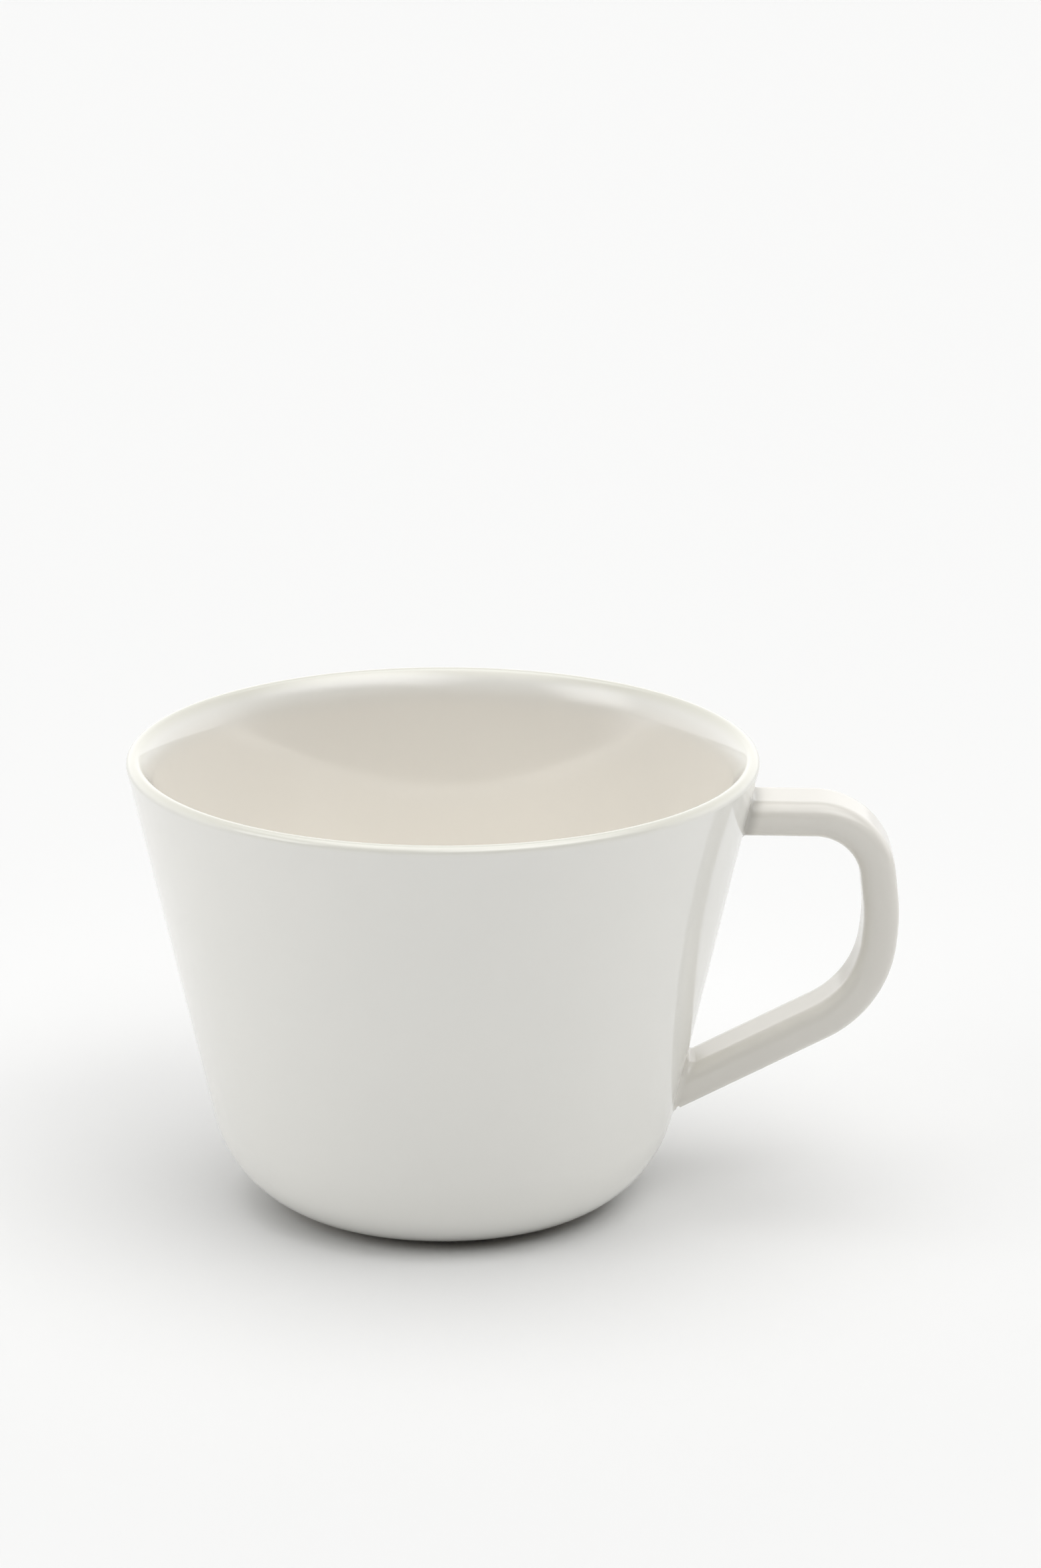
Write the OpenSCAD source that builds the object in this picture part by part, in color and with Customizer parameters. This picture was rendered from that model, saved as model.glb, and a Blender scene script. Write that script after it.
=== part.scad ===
// Cappuccino cup: a conical porcelain bowl on a bare foot ring, with a strap handle that is
// luted on with slip, and a fired coat of glaze over all but the foot.
// Millimetres, +Z up. The origin is the centre of the resting plane, on the bowl's axis, and
// the handle points along +X.

/* [Bowl] */
// Diameter over the rim
rim_d = 92; // [84:1:98]
// Height from the resting plane to the rim
cup_h = 67.5; // [63:0.5:74]
// Outward lean of the outer wall, in degrees from upright
wall_lean = 12.8; // [10.8:0.2:14]
// Extra lean of the inner wall, by which the wall thickens downwards, in degrees
wall_taper = 1.4; // [0.4:0.1:2]
// Thickness of the wall under the lip
lip_t = 3; // [2.4:0.1:3.8]
// Rounding of the lip's outer edge
lip_round = 1.1; // [0.8:0.1:1.2]
// Rounding of the lip's inner edge, which runs softly out into the inner wall
lip_inner_round = 8; // [5:0.5:10]
// Outer radius of the belly, which turns the wall under
belly_r = 17.6; // [16:0.2:20]
// Radius between the inner wall and the floor
inner_belly_r = 14; // [11:0.5:16]
// Thickness of the floor, from the clay over the recess to the glaze inside the cup
floor_t = 4.5; // [3.5:0.1:6]

/* [Foot] */
// Diameter of the resting ring's outer edge
foot_d = 42; // [38:1:45]
// Width of the face that the cup rests on
foot_w = 2.5; // [1.8:0.1:3.5]
// Height of the bare band that is wiped free of glaze
foot_h = 1.2; // [0.8:0.1:1.5]
// Depth of the clay's recess inside the ring
recess_h = 2.2; // [1.8:0.1:2.8]

/* [Glaze] */
// Thickness of the fired glaze
glaze_t = 0.3; // [0.15:0.05:0.4]
// Depth below the rim at which the inner coat ends and the outer coat, which wraps the lip, begins
seam_drop = 6; // [4:0.5:9]

/* [Handle] */
// Width of the strap, glaze included
strap_w = 11; // [9:0.2:13]
// Thickness of the strap, glaze included
strap_t = 5.2; // [4.6:0.1:6]
// Rounding of the strap's long edges
strap_round = 2.2; // [1.4:0.1:2.2]
// Depth of the upper arm's centre line below the rim, where it leaves the bowl
arm_drop = 8.8; // [8.2:0.1:11]
// Fall of the upper arm away from the bowl, in degrees
arm_fall = 0.8; // [0:0.1:3]
// Reach beyond the rim of the corner that the grip's centre line bows round
grip_reach = 18.1; // [16:0.1:22]
// Lean of the grip above and below its widest point, in degrees
grip_lean = 6.5; // [2:0.5:9]
// Height at which the lower arm's centre line meets the wall
landing_h = 17; // [15:0.5:20]
// Slope of the lower arm, in degrees
arm_slope = 27; // [22:1:32]
// Centre-line radius of the upper bend
upper_bend_r = 9.4; // [7:0.2:11]
// Centre-line radius of the grip's slow bow
bow_r = 28; // [15:1:32]
// Centre-line radius of the lower bend
lower_bend_r = 15.6; // [9:0.2:16]

/* [Slip joints] */
// Radius of the fillet of slip round the upper arm
upper_fillet_r = 1.2; // [0.8:0.1:1.8]
// Radius of the fillet of slip round the lower arm
lower_fillet_r = 1.8; // [0.8:0.1:2.4]

/* [Hidden] */
$fn = 128;

// Height of the grip's widest point between the lower and the upper arm
bow_height_share = 0.44;
// Least slope of the bowl's bottom between the foot and the belly, in degrees
least_slope = 10;
// Most of the run between two corners of the handle that the grip's bow takes up
bow_length_share = 0.33;
// Least straight run that is left between two bends of the handle
bend_gap = 0.2;
// How far the slip stands proud of the strap where its fillet runs out
slip_edge = 0.12;
// Facets along the bends of the handle, one count for each corner
bend_steps = [0, 12, 3, 9, 0];
// Facets round each long edge of the strap, and up each fillet of slip
edge_steps = 5;
fillet_steps = 5;
// Most of the wall's thickness that the rounding of the lip's outer edge takes up
lip_share = 0.42;
// By how much a cutting shape passes what it cuts
overrun = 5;

// Lip and rim. The lip's small circle lies inside the large one of its inner edge, and touches it
// where the large one has turned by lip_turn from the inner wall.
rim_r = rim_d / 2;
lip_r = min(lip_round, lip_t * lip_share);
lip_c = [rim_r - lip_r, cup_h - lip_r];
inner_lean = wall_lean + wall_taper;
inner_reach = (lip_t - lip_r) * cos(wall_taper);
lip_turn = acos((lip_inner_round - inner_reach) / (lip_inner_round - lip_r));
inner_c = lip_c - (lip_inner_round - lip_r) * along(180 - inner_lean - lip_turn);
foot_r = foot_d / 2;
foot_in_r = foot_r - foot_w;
floor_z = recess_h + floor_t;

// The belly's circle touches the outer wall's line, and under its glaze it runs down to the
// foot's outer edge, where its slope is foot_rise. Where the wall stands too far out for that,
// the bottom runs straight from the foot to the belly, at the least slope.
clay_belly_r = belly_r - glaze_t;
axis_reach = lip_c.x * cos(wall_lean) - lip_c.y * sin(wall_lean) + lip_r - belly_r;
foot_gap = axis_reach + clay_belly_r - foot_r * cos(wall_lean);
foot_rise = asin(max(-1, 1 - foot_gap / clay_belly_r)) - wall_lean;
bottom_slope = max(foot_rise, least_slope);
lift = clay_belly_r - foot_r * sin(bottom_slope);
belly_c = [
    axis_reach * cos(bottom_slope) + lift * sin(wall_lean),
    axis_reach * sin(bottom_slope) + lift * cos(wall_lean)
] / cos(wall_lean + bottom_slope);

// The hollow's circle touches the inner wall's line and the floor
hollow_z = floor_z + inner_belly_r;
hollow_c = [
    lip_c.x + ((hollow_z - lip_c.y) * sin(inner_lean) - inner_reach - inner_belly_r) / cos(inner_lean),
    hollow_z
];

// Directions and points in the bowl's section, [radius, height], and in the handle's plane
function along(angle) = [cos(angle), sin(angle)];
function wall_x(z) = lip_c.x + ((z - lip_c.y) * sin(wall_lean) + lip_r) / cos(wall_lean);
function meet(p, a, q, b) =
    p + along(a) * ((q - p) * along(b - 90)) / (along(a) * along(b - 90));

// The handle's centre line: four straight runs, given by a point and a heading each
arm_z = cup_h - arm_drop;
arm_start = [wall_x(arm_z), arm_z];
landing = [wall_x(landing_h), landing_h];
grip_x = rim_r + grip_reach;
slope_z = landing.y + (grip_x - landing.x) * tan(arm_slope);
bow = [grip_x, slope_z + (arm_z - slope_z) * bow_height_share];
headings = [-arm_fall, grip_lean - 90, -grip_lean - 90, arm_slope - 180];
upper_corner = meet(arm_start, headings[0], bow, headings[1]);
lower_corner = meet(bow, headings[2], landing, headings[3]);
corners = [arm_start, upper_corner, bow, lower_corner, landing];

// Each bend cuts a length off both runs at its corner, and gives way where a run is short
function turn(i) = headings[i - 1] - headings[i];
upper_run = norm(bow - upper_corner);
lower_run = norm(bow - lower_corner);
bow_cut = min(bow_r * tan(turn(2) / 2), bow_length_share * min(upper_run, lower_run));
upper_cut = min(upper_bend_r * tan(turn(1) / 2), upper_run - bow_cut - bend_gap);
lower_cut = min(lower_bend_r * tan(turn(3) / 2), lower_run - bow_cut - bend_gap);
cuts = [0, upper_cut, bow_cut, lower_cut, 0];

// Sections through the bowl, on the side of the axis where the radius is positive.
// d is a depth below the glazed surface.

// A point of the lip's inner edge, turned up from the inner wall by an angle
function inner_edge(d, turned) =
    inner_c + (lip_inner_round - d) * along(180 - inner_lean - turned);

module lip_disc(d) {
    translate(lip_c) circle(r = lip_r - d);
}

// The space inside the bowl, with its boundary pushed d into the wall
module hollow(d) {
    wall_low = hollow_c + (inner_belly_r + d) * along(-inner_lean);
    edge_low = inner_edge(d, 0);
    edge_top = inner_edge(d, lip_turn);
    top = cup_h + overrun;
    translate([0, floor_z - d]) square([hollow_c.x, inner_belly_r + d]);
    intersection() {
        translate(hollow_c) circle(r = inner_belly_r + d);
        translate([0, floor_z - overrun]) square([rim_r, hollow_c.y - floor_z + overrun]);
    }
    polygon([[0, hollow_c.y], hollow_c, wall_low, edge_low, [0, edge_low.y]]);
    difference() {
        polygon([[0, edge_low.y], edge_low, edge_top, [edge_top.x, top], [0, top]]);
        translate(inner_c) circle(r = lip_inner_round - d);
    }
}

// All that lies inside the outer wall, with its boundary pushed d into the wall
module filled(d) {
    wall_low = belly_c + (belly_r - d) * along(-wall_lean);
    wall_top = lip_c + (lip_r - d) * along(-wall_lean);
    rim_in = inner_edge(d, lip_turn);
    bottom = belly_c + (belly_r - d) * along(bottom_slope - 90);
    square([min(belly_c.x, foot_r), belly_c.y]);
    intersection() {
        translate(belly_c) circle(r = belly_r - d);
        square([rim_r, belly_c.y]);
    }
    if (foot_rise < least_slope) polygon([[0, 0], [foot_r, 0], bottom, belly_c, [0, belly_c.y]]);
    polygon([[0, belly_c.y], belly_c, wall_low, wall_top, rim_in, [0, rim_in.y]]);
}

module wall_section(d) {
    lip_disc(d);
    difference() {
        filled(d);
        hollow(d);
    }
}

// The recess under the floor, with its roof lowered by d
module recess(d) {
    roof_h = recess_h - d;
    square([foot_in_r - recess_h, roof_h]);
    intersection() {
        translate([foot_in_r - recess_h, 0]) circle(r = roof_h);
        square([foot_in_r, roof_h]);
    }
}

module glaze_band() {
    difference() {
        wall_section(0);
        wall_section(glaze_t);
    }
}

module above_foot() {
    translate([0, foot_h]) square([rim_r, cup_h]);
}

// Where the inner coat lies: along the hollow, up to the seam
module inner_zone() {
    intersection() {
        hollow(lip_r);
        square([rim_r, cup_h - seam_drop]);
    }
}

// The bowl with nothing inside, which trims what is joined to its outside
module envelope(d) {
    rotate_extrude() {
        lip_disc(d);
        filled(d);
    }
}

// The handle and its fillets are skins of flat facets, stretched over rings of points.
// Their plane is drawn flat, with the height along Y, and then stood up on edge.

// Outline of the strap, [thickness, width], with its boundary d inside the glazed surface.
// skew is the angle at which a slice cuts the strap, and flare grows the outline.
function strap_outline(d, skew = 0, flare = 0) = [
    for (quarter = [0 : 3], k = [0 : edge_steps])
        let (
            a = 90 * (quarter + k / edge_steps),
            side_t = quarter == 0 || quarter == 3 ? 1 : -1,
            side_w = quarter < 2 ? 1 : -1,
            round_r = strap_round - d + flare
        ) [
            (side_t * (strap_t / 2 - strap_round) + round_r * cos(a)) / cos(skew),
            side_w * (strap_w / 2 - strap_round) + round_r * sin(a)
        ]
];

// Centre of a bend, and the stations along the centre line: [point, heading]
function bend_r(i) = cuts[i] / tan(turn(i) / 2);
function bend_centre(i) =
    corners[i] - along(headings[i - 1]) * cuts[i] + along(headings[i - 1] - 90) * bend_r(i);
function stations(root) = [
    [arm_start - along(headings[0]) * root, headings[0]],
    for (i = [1 : 3], k = [0 : bend_steps[i]])
        let (heading = headings[i - 1] - turn(i) * k / bend_steps[i])
            [bend_centre(i) + along(heading + 90) * bend_r(i), heading],
    [landing + along(headings[3]) * root, headings[3]]
];

// A closed skin over rings that all have the same number of points
module skin(rings) {
    n = len(rings[0]);
    last = len(rings) - 1;
    polyhedron(
        points = [for (ring = rings) each ring],
        faces = [
            [for (k = [0 : n - 1]) k],
            [for (k = [n - 1 : -1 : 0]) last * n + k],
            for (j = [0 : last - 1], k = [0 : n - 1])
                let (a = j * n + k, b = j * n + (k + 1) % n)
                    each [[a, a + n, b], [b, a + n, b + n]]
        ]
    );
}

// The strap along its centre line, with its ends root deep inside the wall
module strap(d, root) {
    rotate([90, 0, 0]) skin([
        for (s = stations(root)) [
            for (p = strap_outline(d))
                let (at = s[0] + along(s[1] + 90) * p.x) [at.x, at.y, p.y]
        ]
    ]);
}

// A concave fillet round an arm that leaves the wall at p with the given heading. Its first
// ring lies inside the wall, and the next ones climb a quarter circle in planes along the wall.
module slip_fillet(p, heading, fillet_r) {
    skew = heading + wall_lean;
    rises = [
        [-fillet_r, fillet_r],
        for (k = [0 : fillet_steps])
            let (a = 90 * k / fillet_steps) fillet_r * [1 - cos(a), 1 - sin(a)]
    ];
    rotate([90, 0, 0]) translate(p) rotate([0, 0, -wall_lean]) skin([
        for (rise = rises) [
            for (q = strap_outline(0, skew, slip_edge + rise[1]))
                [rise[0], rise[0] * tan(skew) + q.x, q.y]
        ]
    ]);
}

module upper_fillet() {
    slip_fillet(arm_start, headings[0], upper_fillet_r);
}

module lower_fillet() {
    slip_fillet(landing, headings[3] + 180, lower_fillet_r);
}

// Sub-parts

module bowl() {
    color("whitesmoke") rotate_extrude() difference() {
        intersection() {
            wall_section(glaze_t);
            above_foot();
        }
        recess(0);
    }
}

module foot_ring() {
    color("linen") rotate_extrude() difference() {
        intersection() {
            filled(glaze_t);
            square([rim_r, foot_h]);
        }
        recess(0);
    }
}

module handle() {
    color("whitesmoke") difference() {
        strap(glaze_t, overrun);
        envelope(glaze_t);
    }
}

module upper_slip_joint() {
    color("gainsboro") difference() {
        upper_fillet();
        envelope(glaze_t);
        strap(glaze_t, overrun);
    }
}

module lower_slip_joint() {
    color("gainsboro") difference() {
        lower_fillet();
        envelope(glaze_t);
        strap(glaze_t, overrun);
    }
}

module inner_glaze() {
    color("antiquewhite") rotate_extrude() intersection() {
        glaze_band();
        inner_zone();
    }
}

module outer_glaze() {
    color("white") difference() {
        rotate_extrude() difference() {
            intersection() {
                glaze_band();
                above_foot();
            }
            inner_zone();
        }
        upper_fillet();
        lower_fillet();
    }
}

module handle_glaze() {
    color("white") difference() {
        strap(0, overrun);
        strap(glaze_t, overrun + glaze_t);
        envelope(0);
        upper_fillet();
        lower_fillet();
    }
}

module underside_glaze() {
    color("white") rotate_extrude() intersection() {
        difference() {
            recess(0);
            recess(glaze_t);
        }
        above_foot();
    }
}

bowl();
foot_ring();
handle();
upper_slip_joint();
lower_slip_joint();
inner_glaze();
outer_glaze();
handle_glaze();
underside_glaze();
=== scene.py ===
# %% [markdown]
# # A cappuccino cup in glazed porcelain
#
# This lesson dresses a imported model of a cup. The frame holds the solids at their real size: the clay
# of the bowl, the foot and the handle, the slip that joins them, and the coats of glaze. Here the
# pieces that the eye meets are modelled again in the same places, as fine and smooth meshes, and then
# each gets its finish. The clay under the glaze stays as the frame has it.

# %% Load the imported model
import math

import bmesh
import bpy
from mathutils import Matrix, Vector


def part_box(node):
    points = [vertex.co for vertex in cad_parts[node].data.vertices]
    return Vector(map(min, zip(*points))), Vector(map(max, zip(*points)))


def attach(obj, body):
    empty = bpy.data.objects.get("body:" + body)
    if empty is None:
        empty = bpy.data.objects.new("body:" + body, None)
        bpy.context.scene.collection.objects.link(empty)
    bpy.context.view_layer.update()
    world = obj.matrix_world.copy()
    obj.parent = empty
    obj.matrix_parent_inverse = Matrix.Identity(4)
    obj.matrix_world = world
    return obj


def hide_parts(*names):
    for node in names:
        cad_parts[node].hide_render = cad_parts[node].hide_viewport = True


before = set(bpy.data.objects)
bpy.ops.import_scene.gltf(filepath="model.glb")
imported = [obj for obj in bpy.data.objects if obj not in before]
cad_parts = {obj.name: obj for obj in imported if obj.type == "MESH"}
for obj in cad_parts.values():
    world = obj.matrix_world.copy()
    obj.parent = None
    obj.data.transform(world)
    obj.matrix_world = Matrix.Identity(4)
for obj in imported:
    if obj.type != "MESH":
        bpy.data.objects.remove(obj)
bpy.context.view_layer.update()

MM = 0.001
print("solids in the frame:", ", ".join(sorted(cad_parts)))

# %% [markdown]
# ## The camera
#
# The cup is seen from a little above the rim, from nearly a metre away, through a long lens. A long
# lens keeps the ellipse of the rim calm: the near and the far edge are almost the same size. The
# camera leans by a small part of a degree, as a camera held by hand does.

# %% The camera
view_rise = math.radians(17.04)
view_roll = math.radians(0.134)
view_distance = 900 * MM
view_target = Vector((11.247, 0, 62.73)) * MM
view_lens = 142.1

look = Vector((0, math.cos(view_rise), -math.sin(view_rise)))
right = Vector((1, 0, 0))
up = right.cross(look)
tilted_right = right * math.cos(view_roll) + up * math.sin(view_roll)
tilted_up = up * math.cos(view_roll) - right * math.sin(view_roll)

bpy.ops.object.camera_add()
camera = bpy.context.active_object
camera.name = "camera"
camera.data.lens = view_lens
turn = Matrix((tilted_right, tilted_up, -look)).transposed()
camera.matrix_world = Matrix.Translation(view_target - look * view_distance) @ turn.to_4x4()
bpy.context.scene.camera = camera
print(f"camera {camera.location.z / MM:.0f} mm above the table")

# %% [markdown]
# ## The sizes of the bowl
#
# A potter turns a cup against a template, a board cut to its outline. The outline needs few sizes:
# the rim, the height, the lean of the wall, and the radii of the lip, the belly and the floor. The
# lip is tight outside and runs out softly inside, where a wide curve leads into the inner wall. The
# rim, the height and the seam between the coats are measured on the frame, and the other sizes repeat
# those that its solids were drawn with.

# %% Sizes of the bowl
coat_low, coat_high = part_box("outer_glaze")
cup_h = coat_high.z
rim_r = round((coat_high.y - coat_low.y) / 2, 4)
seam_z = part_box("inner_glaze")[1].z
wall_lean = math.radians(12.8)
inner_lean = math.radians(14.2)
wall_t = 3 * MM
lip_r = 1.1 * MM
lip_inner_r = 8 * MM
belly_r = 17.6 * MM
inner_belly_r = 14 * MM
floor_z = 6.7 * MM
foot_r = 21 * MM
foot_in_r = 18.5 * MM
foot_h = 1.2 * MM
recess_h = 2.2 * MM
glaze_t = 0.3 * MM
print(f"rim {2 * rim_r / MM:.1f} mm across, {cup_h / MM:.1f} mm high, seam at {seam_z / MM:.1f} mm")


# %% Points of the section
def along(angle):
    """A unit step in a section, where x is the radius and y the height."""
    return Vector((math.cos(angle), math.sin(angle)))


lip = Vector((rim_r - lip_r, cup_h - lip_r))
wall_out = along(-wall_lean)
wall_in = -along(-inner_lean)

# The belly's circle touches the outer wall and passes through the lower edge of the foot.
axis_reach = lip.dot(wall_out) + lip_r - belly_r
clay_belly_r = belly_r - glaze_t
foot_gap = axis_reach + clay_belly_r - foot_r * math.cos(wall_lean)
foot_rise = math.asin(1 - foot_gap / clay_belly_r) - wall_lean
belly = Vector((foot_r, 0)) + clay_belly_r * along(foot_rise + math.pi / 2)

# The wide curve inside the lip touches the lip's own circle and the inner wall.
inner_reach = (wall_t - lip_r) * math.cos(inner_lean - wall_lean)
lip_turn = math.acos((lip_inner_r - inner_reach) / (lip_inner_r - lip_r))
lip_inner = lip - (lip_inner_r - lip_r) * along(math.pi - inner_lean - lip_turn)

# The round corner of the hollow touches the floor and the inner wall.
hollow = Vector((0, floor_z + inner_belly_r))
hollow_reach = -lip.dot(wall_in) - inner_reach - inner_belly_r
hollow.x = (hollow_reach + hollow.y * math.sin(inner_lean)) / math.cos(inner_lean)
print(f"belly centre {belly.x / MM:.2f}, {belly.y / MM:.2f} mm; hollow centre {hollow.x / MM:.2f} mm")

# %% [markdown]
# ## Turning a piece
#
# Every round piece is drawn as half a section, in the upright plane that holds the cup's axis and the
# handle, and then spun round the axis, as the template shapes the clay on the wheel. The drawing goes
# point by point: a line is an extruded point, and a round stretch is that point spun about a centre.


# %% Draw a section and spin it
weld = 0.002 * MM


def start_section(name, at):
    """A mesh of one point, in edit mode, from which a section is drawn."""
    bpy.ops.object.select_all(action="DESELECT")
    bpy.ops.mesh.primitive_plane_add(size=MM)
    piece = bpy.context.active_object
    piece.name = piece.data.name = name
    bpy.ops.object.mode_set(mode="EDIT")
    bpy.ops.mesh.select_mode(type="VERT")
    bpy.ops.mesh.merge(type="CENTER")
    bpy.ops.transform.translate(value=(at.x, 0, at.y))
    return piece


def line_to(start, end, steps=1):
    """Extrudes the selected point from start to end."""
    step = (end - start) / steps
    for _ in range(steps):
        bpy.ops.mesh.extrude_region_move(TRANSFORM_OT_translate={"value": (step.x, 0, step.y)})
    return end


def arc_about(centre, start, angle, steps):
    """Spins the selected point about a centre and gives the place that it reaches."""
    bpy.ops.mesh.spin(steps=steps, angle=angle, center=(centre.x, 0, centre.y), axis=(0, 1, 0))
    return centre + Matrix.Rotation(angle, 2) @ (start - centre)


def spin_round(piece, steps=192):
    """Spins the finished section about the cup's axis and closes the skin."""
    bpy.ops.mesh.select_all(action="SELECT")
    bpy.ops.mesh.spin(steps=steps, angle=math.tau, center=(0, 0, 0), axis=(0, 0, 1))
    bpy.ops.mesh.select_all(action="SELECT")
    bpy.ops.mesh.remove_doubles(threshold=weld)
    bpy.ops.mesh.normals_make_consistent(inside=False)
    bpy.ops.object.mode_set(mode="OBJECT")


def finish_mesh(piece, sharp=35):
    """Smooth shading, with the broad faces deciding the normals and sharp corners kept."""
    bpy.ops.object.select_all(action="DESELECT")
    piece.select_set(True)
    bpy.context.view_layer.objects.active = piece
    bpy.ops.object.shade_smooth_by_angle(angle=math.radians(sharp))
    bpy.ops.object.modifier_add(type="WEIGHTED_NORMAL")
    piece.modifiers[-1].keep_sharp = True
    bpy.ops.object.modifier_apply(modifier=piece.modifiers[-1].name)
    mesh = piece.data
    check = bmesh.new()
    check.from_mesh(mesh)
    open_edges = sum(not edge.is_manifold for edge in check.edges)
    volume = check.calc_volume(signed=True) / MM ** 3
    check.free()
    print(f"{piece.name}: {len(mesh.polygons)} faces, {open_edges} open edges, {volume:.1f} mm3")


# %% [markdown]
# ## The outer coat of glaze
#
# The cup is dipped outside, held by the foot, so one coat runs from just above the foot up the wall
# and wraps over the lip. It ends a few millimetres down the inside, where it meets the inner coat.
# The coat is a closed skin three tenths of a millimetre thick. Its lower end is a soft round bead,
# because melted glaze draws itself together where it was wiped.

# %% The outer coat
bead_r = glaze_t / 2
bead_z = foot_h + 1.2 * bead_r
bead_rise = math.asin((bead_z - belly.y) / (belly_r - bead_r))
inner_top = lip_inner + lip_inner_r * wall_in
seam_out = inner_top + along(-math.pi / 2 - inner_lean) * (inner_top.y - seam_z) / math.cos(inner_lean)
lip_sweep = math.pi - inner_lean - lip_turn + wall_lean


def outer_coat():
    """The bead, the outside up to the lip, over it to the seam, and back along the clay."""
    at = belly + (belly_r - glaze_t) * along(bead_rise)
    piece = start_section("outer_coat", at)
    at = arc_about(belly + (belly_r - bead_r) * along(bead_rise), at, math.pi, 8)
    at = arc_about(belly, at, -wall_lean - bead_rise, 28)
    at = line_to(at, lip + lip_r * wall_out, 12)
    at = arc_about(lip, at, lip_sweep, 24)
    at = arc_about(lip_inner, at, lip_turn, 16)
    at = line_to(at, seam_out, 2)
    at = line_to(at, seam_out - glaze_t * wall_in)
    at = line_to(at, inner_top - glaze_t * wall_in, 2)
    at = arc_about(lip_inner, at, -lip_turn, 8)
    at = arc_about(lip, at, -lip_sweep, 12)
    at = line_to(at, belly + (belly_r - glaze_t) * wall_out, 3)
    arc_about(belly, at, bead_rise + wall_lean, 14)
    spin_round(piece)
    finish_mesh(piece)
    return piece


outer = outer_coat()

# %% [markdown]
# ## The inner coat of glaze
#
# The inside is glazed by pouring: the cup is filled and tipped out again. The coat covers the floor,
# the round corner and the wall, and ends where the outer coat comes over the lip. Its section starts
# and ends on the axis, so the spin closes it with a pole above and below the floor.

# %% The inner coat
def inner_coat():
    """The floor, the round corner and the wall up to the seam, and back along the clay."""
    at = Vector((0, floor_z))
    piece = start_section("inner_coat", at)
    at = line_to(at, Vector((hollow.x, floor_z)), 6)
    at = arc_about(hollow, at, math.pi / 2 - inner_lean, 26)
    at = line_to(at, seam_out, 12)
    at = line_to(at, seam_out - glaze_t * wall_in)
    at = line_to(at, hollow - (inner_belly_r + glaze_t) * wall_in, 3)
    at = arc_about(hollow, at, inner_lean - math.pi / 2, 14)
    line_to(at, Vector((0, floor_z - glaze_t)), 3)
    spin_round(piece)
    finish_mesh(piece)
    return piece


inner = inner_coat()

# %% [markdown]
# ## The foot and the glaze under it
#
# The cup stands on a ring of bare clay. It is wiped with a sponge before the firing, or it would melt
# to the kiln shelf, and the sponge leaves its two lower edges a little round. Inside the ring the
# floor is glazed again.

# %% The bare foot ring
foot_soft = 0.25 * MM
near = 0.01 * MM
recess = Vector((foot_in_r - recess_h, 0))


def foot_ring():
    """The ring, with the two edges that it stands on bevelled."""
    top_out = belly + clay_belly_r * along(math.asin((foot_h - belly.y) / clay_belly_r))
    inner_rise = math.asin(foot_h / recess_h)
    at = Vector((foot_in_r, 0))
    piece = start_section("bare_foot", at)
    at = line_to(at, Vector((foot_r, 0)), 3)
    down = (at - belly).angle_signed(top_out - belly)
    at = arc_about(belly, at, abs(down), 6)
    at = line_to(at, recess + recess_h * along(inner_rise), 3)
    arc_about(recess, at, -inner_rise, 6)
    spin_round(piece)
    bpy.ops.object.mode_set(mode="EDIT")
    bpy.ops.mesh.select_mode(type="EDGE")
    bpy.ops.mesh.select_all(action="DESELECT")
    work = bmesh.from_edit_mesh(piece.data)
    for edge in work.edges:
        radii = [vert.co.to_2d().length for vert in edge.verts]
        level = abs(radii[0] - radii[1]) < near
        low = max(vert.co.z for vert in edge.verts) < near
        corner = min(abs(radii[0] - foot_r), abs(radii[0] - foot_in_r)) < near
        edge.select = level and low and corner
    bmesh.update_edit_mesh(piece.data)
    bpy.ops.mesh.bevel(offset=foot_soft, segments=3)
    bpy.ops.object.mode_set(mode="OBJECT")
    finish_mesh(piece)
    return piece


foot = foot_ring()

# %% The glaze in the recess
def underside_coat():
    """The recess up to its corner, a bead where the bare ring begins, and back below."""
    coat_r = recess_h - glaze_t
    rise = math.asin(bead_z / (recess_h - bead_r))
    at = Vector((0, recess_h))
    piece = start_section("underside_coat", at)
    at = line_to(at, Vector((recess.x, recess_h)), 6)
    at = arc_about(recess, at, rise - math.pi / 2, 8)
    at = arc_about(recess + (recess_h - bead_r) * along(rise), at, -math.pi, 6)
    at = arc_about(recess, at, math.pi / 2 - rise, 8)
    line_to(at, Vector((0, coat_r)), 6)
    spin_round(piece)
    finish_mesh(piece)
    return piece


underside = underside_coat()

# %% [markdown]
# ## The strap of the handle
#
# The handle is cast in a plaster mould as a strap of even width: a straight arm out from the bowl, a
# tight bend, a grip that bows out a little, and a slanted arm back. Its two long edges are fully
# rounded, and the rounding starts slowly from the flat, so no line shows where it begins. Here a
# small plane gets those edges with a bevel, and is then pushed along the handle: extruded where the
# strap is straight and spun where it bends. Solidify leaves the coat of glaze round it.

# %% The line that the strap follows
strap_w = 11 * MM
strap_t = 5.2 * MM
strap_profile = 0.57
arm_fall = math.radians(0.8)
grip_lean = math.radians(6.5)
arm_slope = math.radians(27)
arm_drop = 8.8 * MM
landing_z = 17 * MM
grip_reach = 18.1 * MM
bow_height_share = 0.44


def wall_x(height):
    """Radius of the glazed outer wall at a height."""
    return lip.x + ((height - lip.y) * math.sin(wall_lean) + lip_r) / math.cos(wall_lean)


def meet(p, a, q, b):
    """Where the line from p with heading a meets the line through q with heading b."""
    square = along(b - math.pi / 2)
    return p + along(a) * (q - p).dot(square) / along(a).dot(square)


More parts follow.
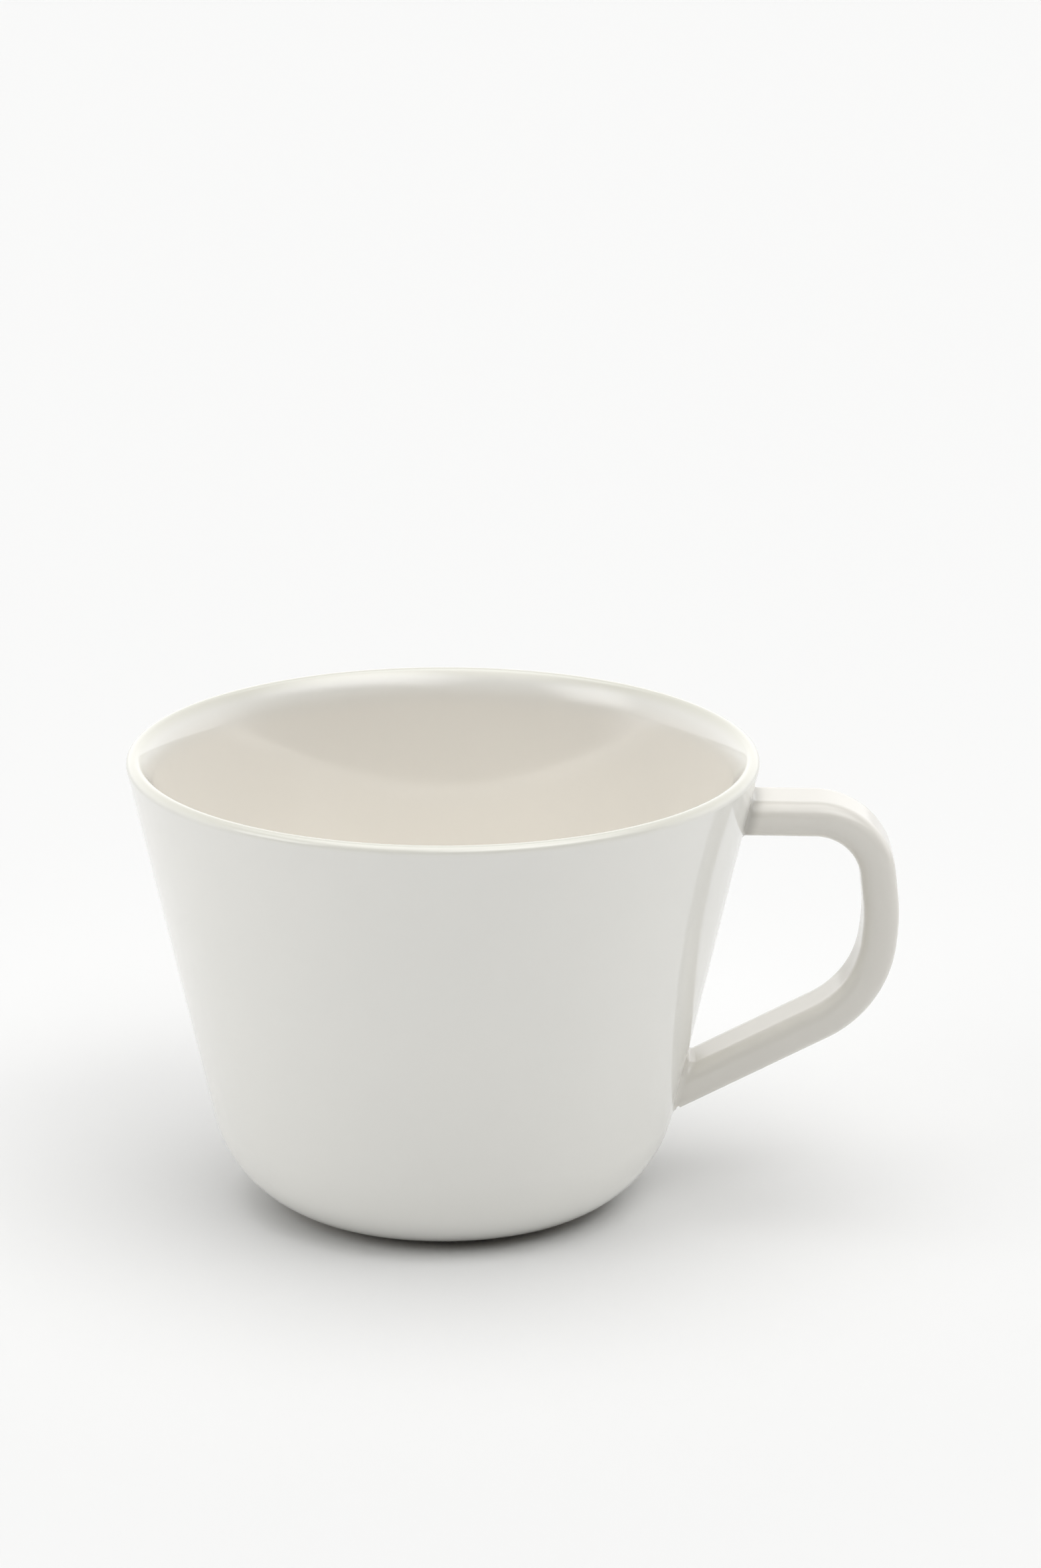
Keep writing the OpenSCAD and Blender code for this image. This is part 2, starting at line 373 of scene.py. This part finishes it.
arm_z = cup_h - arm_drop
arm_start = Vector((wall_x(arm_z), arm_z))
landing = Vector((wall_x(landing_z), landing_z))
grip_x = rim_r + grip_reach
slope_z = landing.y + (grip_x - landing.x) * math.tan(arm_slope)
bow = Vector((grip_x, slope_z + (arm_z - slope_z) * bow_height_share))
headings = [-arm_fall, grip_lean - math.pi / 2, -grip_lean - math.pi / 2, arm_slope - math.pi]
corners = [meet(arm_start, headings[0], bow, headings[1]), bow,
           meet(bow, headings[2], landing, headings[3])]
bend_radii = [9.4 * MM, 28 * MM, 15.6 * MM]
print("corners of the handle:", [tuple(round(c / MM, 2) for c in corner) for corner in corners])

# %% The strap's coat of glaze
root = 1.2 * MM
bend_steps = [26, 8, 24]


def strap_section():
    """An upright plane as wide and as thick as the strap, with round corners."""
    bpy.ops.object.select_all(action="DESELECT")
    bpy.ops.mesh.primitive_plane_add(size=1, rotation=(0, math.pi / 2, 0))
    piece = bpy.context.active_object
    piece.name = piece.data.name = "strap_coat"
    bpy.ops.object.transform_apply(location=True, rotation=True, scale=True)
    bpy.ops.object.mode_set(mode="EDIT")
    bpy.ops.mesh.select_all(action="SELECT")
    bpy.ops.transform.resize(value=(1, strap_w, strap_t))
    bpy.ops.mesh.bevel(offset=strap_t / 2, segments=16, profile=strap_profile, affect="VERTICES")
    return piece


def push_along_handle():
    """Takes the section to the upper arm and pushes it through the three bends to the landing."""
    at = arm_start - along(headings[0]) * root
    bpy.ops.transform.rotate(value=-headings[0], orient_axis="Y", center_override=(0, 0, 0))
    bpy.ops.transform.translate(value=(at.x, 0, at.y))
    bpy.ops.mesh.select_mode(type="FACE")
    for corner, radius, before, after, steps in zip(
            corners, bend_radii, headings, headings[1:], bend_steps):
        angle = before - after
        bend_from = corner - along(before) * radius * math.tan(angle / 2)
        line_to(at, bend_from, 4)
        centre = bend_from + along(before - math.pi / 2) * radius
        at = arc_about(centre, bend_from, -angle, steps)
    line_to(at, landing + along(headings[-1]) * root, 6)


def strap_coat():
    """The strap's skin, open at both ends, with the coat's thickness inside it."""
    piece = strap_section()
    push_along_handle()
    bpy.ops.mesh.select_all(action="SELECT")
    bpy.ops.mesh.remove_doubles(threshold=weld)
    bpy.ops.mesh.normals_make_consistent(inside=False)
    bpy.ops.mesh.select_all(action="DESELECT")
    bpy.ops.mesh.select_face_by_sides(number=4, type="GREATER")
    bpy.ops.mesh.delete(type="ONLY_FACE")
    bpy.ops.object.mode_set(mode="OBJECT")
    bpy.ops.object.modifier_add(type="SOLIDIFY")
    coat = piece.modifiers[-1]
    coat.thickness = glaze_t
    coat.offset = -1
    coat.use_even_offset = True
    bpy.ops.object.modifier_apply(modifier=coat.name)
    finish_mesh(piece)
    return piece


strap = strap_coat()

# %% [markdown]
# ## The joints of slip
#
# The handle is stuck on with slip, clay thinned to a cream, which is wiped to a small hollow fillet all
# round each arm. The fillet is what a ball leaves when it rolls along the corner between the strap
# and the wall, so its rings are worked out as the places that such a ball touches. No operator
# follows two curved skins at once, so the rings are laid out in code and an operator bridges them.

# %% Distance to the glazed wall
def wall_distance(point):
    """How far a point lies outside the glazed bowl, and the direction away from it."""
    spot = Vector((point.to_2d().length, point.z))
    if (spot - belly).dot(along(-wall_lean - math.pi / 2)) > 0:
        away = (spot - belly).normalized()
        distance = (spot - belly).length - belly_r
    else:
        away = wall_out
        distance = (spot - lip).dot(wall_out) - lip_r
    flat = point.to_2d().normalized() * away.x
    return distance, Vector((*flat, away.y))


# %% Rings of a fillet
# The power of the superellipse that the bevel's profile draws.
corner_power = 2 * math.log(2) / -math.log(strap_profile)
corner_steps = 14
fillet_sink = 0.25 * MM


def strap_corner(turned):
    """A place on a rounded corner of the strap, from the corner's middle, and the normal there."""
    spread = along(math.radians(turned))
    place = Vector([max(v, 0) ** (2 / corner_power) for v in spread]) * strap_t / 2
    normal = Vector([max(v, 0) ** (2 - 2 / corner_power) for v in spread]).normalized()
    return place + Vector((0, strap_w / 2 - strap_t / 2)), normal


def strap_outline():
    """Places all round the strap, as thickness and width, each with its normal."""
    ring = []
    for side_t, side_w in ((1, 1), (-1, 1), (-1, -1), (1, -1)):
        ahead = side_t == side_w
        for k in range(0 if ahead else 1, corner_steps + 1):
            turned = 90 * k / corner_steps
            place, normal = strap_corner(turned if ahead else 90 - turned)
            ring.append([Vector((side_t * v.x, side_w * v.y)) for v in (place, normal)])
    return ring


def ball_path(at, heading, ball_r):
    """Where a ball touches strap and wall, all round an arm: its centre and the two directions."""
    out = Vector((math.cos(heading), 0, math.sin(heading)))
    rise = Vector((-math.sin(heading), 0, math.cos(heading)))
    side = Vector((0, 1, 0))
    path = []
    for place, normal in strap_outline():
        lift = normal.x * rise + normal.y * side
        centre = Vector((at.x, 0, at.y)) + place.x * rise + place.y * side + ball_r * lift
        # The ball slides out along the arm until it just touches the wall.
        for _ in range(30):
            distance, away = wall_distance(centre)
            centre += out * (ball_r - distance) / out.dot(away)
        path.append((centre, -lift, -away))
    return path


def fillet_rings(path, ball_r, steps=8):
    """The hollow face from strap to wall, and three rings that close it inside the clay."""
    rings = []
    for k in range(steps + 1):
        share = k / steps
        rings.append([
            centre + ball_r * on_strap.slerp(on_wall, share) for centre, on_strap, on_wall in path])
    back = ball_r + fillet_sink
    rings.append([centre + back * on_wall for centre, _, on_wall in path])
    rings.append([centre + back * (on_strap + on_wall) for centre, on_strap, on_wall in path])
    rings.append([centre + back * on_strap for centre, on_strap, _ in path])
    return rings


# %% Bridge the rings
def slip_joint(name, at, heading, ball_r):
    """Lays the rings out as loops of edges and bridges each loop to the next."""
    rings = fillet_rings(ball_path(at, heading, ball_r), ball_r)
    count = len(rings[0])
    mesh = bpy.data.meshes.new(name)
    edges = [
        (start + k, start + (k + 1) % count)
        for start in range(0, len(rings) * count, count) for k in range(count)
    ]
    mesh.from_pydata([point for ring in rings for point in ring], edges, [])
    piece = bpy.data.objects.new(name, mesh)
    bpy.context.collection.objects.link(piece)
    bpy.ops.object.select_all(action="DESELECT")
    piece.select_set(True)
    bpy.context.view_layer.objects.active = piece
    bpy.ops.object.mode_set(mode="EDIT")
    bpy.ops.mesh.select_mode(type="EDGE")
    for ring in range(len(rings)):
        bpy.ops.mesh.select_all(action="DESELECT")
        work = bmesh.from_edit_mesh(mesh)
        work.edges.ensure_lookup_table()
        pair = {ring, (ring + 1) % len(rings)}
        for edge in work.edges:
            loops = {vert.index // count for vert in edge.verts}
            edge.select = len(loops) == 1 and loops <= pair
        bmesh.update_edit_mesh(mesh)
        bpy.ops.mesh.bridge_edge_loops()
    bpy.ops.mesh.select_all(action="SELECT")
    bpy.ops.mesh.normals_make_consistent(inside=False)
    bpy.ops.object.mode_set(mode="OBJECT")
    finish_mesh(piece)
    return piece


upper_joint = slip_joint("upper_slip", arm_start, headings[0], ball_r=0.6 * MM)
lower_joint = slip_joint("lower_slip", landing, headings[-1] + math.pi, ball_r=0.9 * MM)

# %% [markdown]
# ## Putting the pieces in place
#
# Nothing on a cup moves, so every piece rides the one body. Each new piece takes the place of the
# solid that it was modelled on.

# %% Carry the pieces
for piece, node, slot in (
        (outer, "outer_glaze", "outer_glaze"), (inner, "inner_glaze", "inner_glaze"),
        (foot, "foot_ring", "bare_foot"), (underside, "underside_glaze", "underside_glaze"),
        (strap, "handle_glaze", "handle_glaze"),
        (upper_joint, "upper_slip_joint", "glazed_slip"),
        (lower_joint, "lower_slip_joint", "glazed_slip")):
    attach(piece, "root")
    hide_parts(node)
    print(f"{piece.name} stands for {node}")

# %% [markdown]
# ## Finishes shared by several pieces
#
# What several finishes have in common is a node group, built once. Each group reads the piece's own
# coordinates, which are the cup's coordinates in metres, so a pattern runs on across a seam and keeps
# its size. The first group says where on the cup a point lies, because the glaze is painted differently
# there: inside, lighter and warmer, as painted bounce light from the walls lighting each other, on the
# lip, creamier and a little darker, near the foot, darker and greener, and in the crease beside the
# handle's upper arm, grey, as painted shade.

# %% Helpers for nodes
def put(tree, kind, **settings):
    """Adds a node; a setting is one of its properties."""
    made = tree.nodes.new(kind)
    for name, value in settings.items():
        setattr(made, name, value)
    return made


def calc(tree, operation, *values, clamp=False):
    """A Math node over numbers or sockets; gives its output."""
    made = put(tree, "ShaderNodeMath", operation=operation, use_clamp=clamp)
    for socket, value in zip(made.inputs, values):
        if isinstance(value, (int, float)):
            socket.default_value = value
        else:
            tree.links.new(value, socket)
    return made.outputs[0]


def blend_colour(tree, share, low, high):
    """A mix of two colours, each a socket or a colour; gives the mixed colour."""
    made = put(tree, "ShaderNodeMix", data_type="RGBA")
    tree.links.new(share, made.inputs["Factor"])
    for socket, value in zip((made.inputs[6], made.inputs[7]), (low, high)):
        if isinstance(value, tuple):
            socket.default_value = (*value, 1)
        else:
            tree.links.new(value, socket)
    return made.outputs[2]


def ramp_between(tree, value, low, high):
    """0 at low, 1 at high, with soft ends."""
    made = put(tree, "ShaderNodeMapRange", interpolation_type="SMOOTHSTEP")
    tree.links.new(value, made.inputs["Value"])
    made.inputs["From Min"].default_value = low
    made.inputs["From Max"].default_value = high
    return made.outputs["Result"]


def new_group(name, inputs, outputs):
    """A node group with its sockets, each given as a name, a kind and, for an input, a value."""
    group = bpy.data.node_groups.new(name, "ShaderNodeTree")
    for label, kind, value in inputs:
        socket = group.interface.new_socket(label, in_out="INPUT", socket_type=f"NodeSocket{kind}")
        socket.default_value = (*value, 1) if kind == "Color" else value
    for label, kind in outputs:
        group.interface.new_socket(label, in_out="OUTPUT", socket_type=f"NodeSocket{kind}")
    return group, put(group, "NodeGroupInput").outputs, put(group, "NodeGroupOutput").inputs


def noise(tree, size, detail=2, roughness=0.5, seed=0):
    """Noise whose spots are about size metres across, placed by the object's coordinates."""
    place = put(tree, "ShaderNodeMapping")
    tree.links.new(put(tree, "ShaderNodeTexCoord").outputs["Object"], place.inputs["Vector"])
    place.inputs["Location"].default_value = (seed, 0, 0)
    place.inputs["Scale"].default_value = (1 / size,) * 3
    made = put(tree, "ShaderNodeTexNoise")
    tree.links.new(place.outputs["Vector"], made.inputs["Vector"])
    made.inputs["Scale"].default_value = 1
    made.inputs["Detail"].default_value = detail
    made.inputs["Roughness"].default_value = roughness
    return made.outputs["Fac"]


# %% Where on the cup a point lies
def make_places():
    """Masks of the places where the glaze is painted differently, some of them with painted light or
    shade, from 0 to 1.
    """
    group, _, out = new_group(
        "cup_places", [],
        [("Inside", "Float"), ("Lip", "Float"), ("Near_foot", "Float"), ("Crease_shade", "Float")])
    spot = put(group, "ShaderNodeSeparateXYZ")
    group.links.new(put(group, "ShaderNodeTexCoord").outputs["Object"], spot.inputs[0])
    x, y, z = spot.outputs
    x_squared = calc(group, "MULTIPLY", x, x)
    radius = calc(group, "SQRT", calc(group, "MULTIPLY_ADD", y, y, x_squared))
    slope = math.tan((wall_lean + inner_lean) / 2)
    wall_middle = calc(group, "MULTIPLY_ADD", z, slope, lip.x - lip.y * slope)
    within = calc(group, "LESS_THAN", radius, wall_middle)
    over_floor = calc(group, "GREATER_THAN", z, floor_z - glaze_t / 2)
    below_lip = ramp_between(group, z, cup_h - 1 * MM, cup_h - 6 * MM)
    # Inside: where the glaze is painted lighter and warmer, as painted bounce light.
    inside = calc(group, "MULTIPLY", calc(group, "MULTIPLY", within, over_floor), below_lip)
    group.links.new(inside, out["Inside"])
    # Lip: where the glaze is painted creamier and a little darker.
    group.links.new(ramp_between(group, z, cup_h - 1.6 * MM, cup_h - 0.1 * MM), out["Lip"])
    # Near_foot: where the glaze is painted darker and greener, towards the foot.
    low = ramp_between(group, z, 9 * MM, 1 * MM)
    past_foot = calc(group, "GREATER_THAN", radius, foot_r)
    group.links.new(calc(group, "MULTIPLY", low, past_foot), out["Near_foot"])
    # Crease_shade: painted shade within 2.2 mm of the wall, beside the upper arm and fading out below
    # it.
    wall = calc(group, "MULTIPLY_ADD", z, math.tan(wall_lean), wall_x(0))
    from_wall = calc(group, "SUBTRACT", radius, wall)
    close = ramp_between(group, from_wall, 2.2 * MM, 0.4 * MM)
    upper = ramp_between(group, z, 15 * MM, 55 * MM)
    group.links.new(calc(group, "MULTIPLY", close, upper), out["Crease_shade"])
    return group


cup_places = make_places()
print("group:", cup_places.name)


# %% The look of the glaze
# Darker, greener glaze towards the foot.
foot_glaze_tone = (0.74, 0.745, 0.72)
# Creamier, darker glaze on the lip.
lip_glaze_tone = (0.74, 0.73, 0.648)
# Painted shade in the crease beside the handle's upper arm.
crease_shade_colour = (0.38, 0.37, 0.34)
foot_tone_share = 0.35
lip_tone_share = 0.8
patch_share = 0.3
roughness_spread = 0.05


def make_glaze_skin():
    """The glaze's colour by place, its slightly uneven roughness and its ripple."""
    group, given, out = new_group(
        "glaze_skin",
        [("White", "Color", (0.8, 0.8, 0.8)), ("Warm", "Color", (0.8, 0.75, 0.7)),
         ("Unevenness", "Float", 0.02), ("Roughness", "Float", 0.08), ("Crease_shade", "Float", 0.0)],
        [("Colour", "Color"), ("Roughness", "Float"), ("Height", "Float")])
    places = put(group, "ShaderNodeGroup", node_tree=cup_places).outputs
    cloud = calc(group, "SUBTRACT", noise(group, 22 * MM, detail=3), 0.5)
    drift = calc(group, "MULTIPLY", cloud, given["Unevenness"])
    patches = calc(group, "MULTIPLY", cloud, patch_share)
    # Painted bounce light: inside, the glaze is painted lighter and warmer; the random patches are the
    # glaze's own tone.
    bounce_and_patches = calc(group, "ADD", places["Inside"], patches, clamp=True)
    base = blend_colour(group, bounce_and_patches, given["White"], given["Warm"])
    # Darker and greener towards the foot.
    foot_tone = calc(group, "MULTIPLY", places["Near_foot"], foot_tone_share)
    foot_toned = blend_colour(group, foot_tone, base, foot_glaze_tone)
    # Creamier and a little darker on the lip.
    lip_tone = calc(group, "MULTIPLY", places["Lip"], lip_tone_share)
    lip_toned = blend_colour(group, lip_tone, foot_toned, lip_glaze_tone)
    # Painted shade: the glaze is painted grey in the crease beside the upper arm.
    crease_shade_share = calc(group, "MULTIPLY", places["Crease_shade"], given["Crease_shade"])
    crease_shaded = blend_colour(group, crease_shade_share, lip_toned, crease_shade_colour)
    tone = put(group, "ShaderNodeHueSaturation")
    group.links.new(crease_shaded, tone.inputs["Color"])
    group.links.new(calc(group, "ADD", drift, 1.0), tone.inputs["Value"])
    group.links.new(tone.outputs["Color"], out["Colour"])
    fine = noise(group, 3.2 * MM, detail=2, seed=3.1)
    grain = calc(group, "SUBTRACT", fine, 0.5)
    rough = calc(group, "MULTIPLY_ADD", grain, roughness_spread, given["Roughness"])
    group.links.new(rough, out["Roughness"])
    peel = calc(group, "MULTIPLY_ADD", noise(group, 2.4 * MM, detail=1, seed=7.7), 0.4,
                noise(group, 9 * MM, detail=1, seed=1.3))
    group.links.new(peel, out["Height"])
    return group


glaze_skin = make_glaze_skin()
print("group:", glaze_skin.name)


# %% The grain of fired clay
def make_clay_grain():
    """Fired clay without glaze: fine and broad grain, and a few dark specks."""
    group, given, out = new_group(
        "clay_grain",
        [("Light", "Color", (0.7, 0.68, 0.64)), ("Dark", "Color", (0.6, 0.57, 0.52)),
         ("Speck", "Float", 0.5)],
        [("Colour", "Color"), ("Roughness", "Float"), ("Height", "Float")])
    fine = noise(group, 0.25 * MM, detail=4, roughness=0.65)
    broad = noise(group, 6 * MM, detail=3, seed=5.2)
    mottle = calc(group, "MULTIPLY_ADD", fine, 0.5, calc(group, "MULTIPLY", broad, 0.5))
    body = blend_colour(group, mottle, given["Light"], given["Dark"])
    grit = ramp_between(group, noise(group, 0.6 * MM, detail=1, seed=9.4), 0.68, 0.76)
    specks = calc(group, "MULTIPLY", grit, given["Speck"])
    group.links.new(blend_colour(group, specks, body, given["Dark"]), out["Colour"])
    group.links.new(calc(group, "MULTIPLY_ADD", fine, 0.2, 0.55), out["Roughness"])
    group.links.new(calc(group, "MULTIPLY_ADD", grit, 0.3, fine), out["Height"])
    return group


clay_grain = make_clay_grain()
print("group:", clay_grain.name)

# %% [markdown]
# ## The finishes
#
# Glaze is a skin of glass over a white body. A shader does that well as one glossy surface, because
# the coat is thin, clear and fused to the clay. The gloss is nearly perfect, but melted glaze never
# lies quite flat, so a faint ripple bends its reflections.


# %% Make the materials
def make_finish(name, group, values, ripple, depth, coat_ior=1.5):
    """A ceramic finish: a group's colour, roughness and height, on one shader."""
    material = bpy.data.materials.new(name)
    material.use_nodes = True
    tree = material.node_tree
    shader = tree.nodes["Principled BSDF"]
    shader.inputs["IOR"].default_value = coat_ior
    skin = put(tree, "ShaderNodeGroup", node_tree=group)
    for label, value in values.items():
        skin.inputs[label].default_value = (*value, 1) if isinstance(value, tuple) else value
    bump = put(tree, "ShaderNodeBump")
    bump.inputs["Strength"].default_value = ripple
    bump.inputs["Distance"].default_value = depth
    tree.links.new(skin.outputs["Height"], bump.inputs["Height"])
    tree.links.new(skin.outputs["Colour"], shader.inputs["Base Color"])
    tree.links.new(skin.outputs["Roughness"], shader.inputs["Roughness"])
    tree.links.new(bump.outputs["Normal"], shader.inputs["Normal"])
    return material


glaze_white = (0.82, 0.812, 0.769)
# Lighter and warmer: painted bounce light inside the cup, and the warm tone of the random patches.
glaze_warm_and_bounce = (0.86, 0.828, 0.765)
# The handle's glaze keeps its own warmer tint, and is painted darker than the bowl's as painted shade
# on the handle and its joints.
handle_shaded_white = (0.73, 0.708, 0.655)
cup_glaze = make_finish("cup_glaze", glaze_skin, {
    "White": glaze_white, "Warm": glaze_warm_and_bounce, "Unevenness": 0.03, "Roughness": 0.07,
}, ripple=0.5, depth=0.01 * MM, coat_ior=1.72)
# The handle and the slip carry painted shade in the crease beside the upper arm.
handle_glaze = make_finish("handle_glaze", glaze_skin, {
    "White": handle_shaded_white, "Warm": handle_shaded_white, "Unevenness": 0.03, "Roughness": 0.13, "Crease_shade": 0.55,
}, ripple=0.5, depth=0.012 * MM)
slip_glaze = make_finish("slip_glaze", glaze_skin, {
    "White": handle_shaded_white, "Warm": handle_shaded_white, "Unevenness": 0.05, "Roughness": 0.13, "Crease_shade": 0.55,
}, ripple=0.6, depth=0.02 * MM)
fired_clay = make_finish("fired_clay", clay_grain, {
    "Light": (0.74, 0.71, 0.66), "Dark": (0.63, 0.60, 0.54), "Speck": 0.3,
}, ripple=0.5, depth=0.03 * MM)
bare_clay = make_finish("bare_clay", clay_grain, {
    "Light": (0.71, 0.68, 0.62), "Dark": (0.52, 0.48, 0.42), "Speck": 0.6,
}, ripple=0.8, depth=0.05 * MM)
print("finishes:", ", ".join(m.name for m in bpy.data.materials if m.users))

# %% Dress the pieces
for piece, material in (
        (outer, cup_glaze), (inner, cup_glaze), (underside, cup_glaze), (strap, handle_glaze),
        (upper_joint, slip_glaze), (lower_joint, slip_glaze), (foot, bare_clay),
        (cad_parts["bowl"], fired_clay), (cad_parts["handle"], fired_clay)):
    piece.data.materials.clear()
    piece.data.materials.append(material)
    print(f"{piece.name} wears {material.name}")

# %% [markdown]
# ## The paper
#
# The cup stands on white paper. The camera, and the reflections in the glaze, see the paper a little
# darker than it is, so that it stays below pure white, while its full white still lights the cup.

# %% The floor
paper_size = 8
paper_white = (0.88, 0.88, 0.88)
paper_as_seen = (0.79, 0.79, 0.785)

bpy.ops.object.select_all(action="DESELECT")
bpy.ops.mesh.primitive_plane_add(size=paper_size)
floor = bpy.context.active_object
floor.name = "floor"
pale = bpy.data.materials.new("pale_floor")
pale.use_nodes = True
paper = pale.node_tree
rays = put(paper, "ShaderNodeLightPath").outputs
mirrored = calc(paper, "ADD", rays["Is Glossy Ray"], rays["Is Transmission Ray"])
seen = calc(paper, "ADD", rays["Is Camera Ray"], mirrored, clamp=True)
tint = blend_colour(paper, seen, paper_white, paper_as_seen)
paper.links.new(tint, paper.nodes["Principled BSDF"].inputs["Base Color"])
paper.nodes["Principled BSDF"].inputs["Roughness"].default_value = 0.7
floor.data.materials.append(pale)
print(f"paper {paper_size} m wide")

# %% [markdown]
# ## The light
#
# Beyond the paper, bright walls stand round the back of the cup, and the room is dark behind the
# camera. A soft panel on the left is the key light, and a wide one on the right, higher up, fills the
# near side. The largest hangs overhead and lights the top of the handle. White glaze shows every light
# as a reflection, so the panels have very soft edges. They are painted on the world, each as a
# rectangle seen from the cup, because a panel far away lights the whole cup evenly.

# %% The world's parts
studio = bpy.data.worlds.new("studio")
bpy.context.scene.world = studio
studio.use_nodes = True
sky = studio.node_tree
toward = put(sky, "ShaderNodeTexCoord").outputs["Generated"]


def dot(direction):
    """How far the looked-at point of the world lies in a direction, from -1 to 1."""
    made = put(sky, "ShaderNodeVectorMath", operation="DOT_PRODUCT")
    sky.links.new(toward, made.inputs[0])
    made.inputs[1].default_value = direction
    return made.outputs["Value"]


def soft_window(value, half_size, softness=0.7):
    """1 inside half_size on both sides of zero, fading to 0 round its edge."""
    away = calc(sky, "ABSOLUTE", value)
    return ramp_between(sky, away, half_size * (1 + softness), half_size * (1 - softness))


def soft_panel(azimuth, rise, half_width, half_height, strength):
    """A soft rectangular light, placed and sized by angles seen from the cup."""
    azimuth, rise = math.radians(azimuth), math.radians(rise)
    level = Vector((math.cos(azimuth), math.sin(azimuth), 0))
    middle = level * math.cos(rise) + Vector((0, 0, math.sin(rise)))
    across = Vector((-math.sin(azimuth), math.cos(azimuth), 0))
    ahead = dot(middle)
    sideways = calc(sky, "DIVIDE", dot(across), ahead)
    upwards = calc(sky, "DIVIDE", dot(middle.cross(across)), ahead)
    wide = soft_window(sideways, math.tan(math.radians(half_width)))
    high = soft_window(upwards, math.tan(math.radians(half_height)))
    in_front = calc(sky, "GREATER_THAN", ahead, 0)
    shape = calc(sky, "MULTIPLY", calc(sky, "MULTIPLY", wide, high), in_front)
    return calc(sky, "MULTIPLY", shape, strength)


# %% Paint the light
def wall_glow(azimuth, spread, top, strength, side_fade=20, top_fade=26):
    """The bright walls behind the cup: a wide band that fades out sideways and upwards."""
    azimuth = math.radians(azimuth)
    facing = dot(Vector((math.cos(azimuth), math.sin(azimuth), 0)))
    sideways = ramp_between(sky, facing, math.cos(math.radians(spread + side_fade)),
                            math.cos(math.radians(spread - side_fade)))
    height = dot(Vector((0, 0, 1)))
    upwards = ramp_between(sky, height, math.sin(math.radians(top + top_fade)),
                           math.sin(math.radians(top - top_fade)))
    return calc(sky, "MULTIPLY", calc(sky, "MULTIPLY", sideways, upwards), strength)


key = soft_panel(azimuth=204, rise=31, half_width=14, half_height=14, strength=2.1)
fill = soft_panel(azimuth=313, rise=54, half_width=28, half_height=13, strength=2.55)
overhead = soft_panel(azimuth=0, rise=89.9, half_width=29, half_height=29, strength=2.45)
walls = wall_glow(azimuth=96, spread=96, top=36, strength=1.38)
light = key
for other in (fill, overhead, walls):
    light = calc(sky, "ADD", light, other)
background = sky.nodes["Background"]
sky.links.new(light, background.inputs["Strength"])
background.inputs["Color"].default_value = (1, 1, 1, 1)
bpy.context.scene.view_settings.view_transform = "Standard"
print("world:", studio.name, "with", len(sky.nodes), "nodes")
